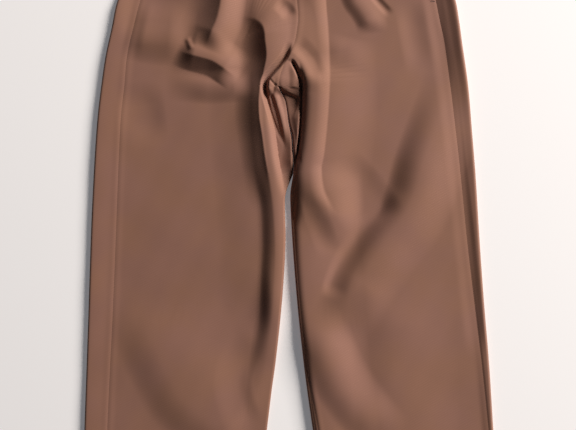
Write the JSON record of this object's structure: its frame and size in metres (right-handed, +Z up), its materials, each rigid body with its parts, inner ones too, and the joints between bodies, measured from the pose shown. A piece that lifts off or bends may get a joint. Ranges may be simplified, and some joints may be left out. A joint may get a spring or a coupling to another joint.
{
  "type": "wide-leg pants",
  "caption": "Wide-leg pull-on pants laid flat on their back, front side up, with soft folds, side seams rolled to the front and a plain waistband.",
  "frame": {"origin": "middle of the garment's length and of its hem-to-hem width, on the surface it lies on", "axes": "+X to the viewer's right (the wearer's left side), +Y towards the waist, +Z up from the surface, out of the garment's front"},
  "size_m": [0.664, 0.974, 0.016],
  "materials": {
    "cloth": "smooth matt brown twill with a soft sheen",
    "band": "the same brown twill, doubled and lightly gathered"
  },
  "bodies": {
    "root": {"right_front": "cloth", "left_front": "cloth", "right_back": "cloth", "left_back": "cloth", "waistband": "band"}
  },
  "joints": []
}
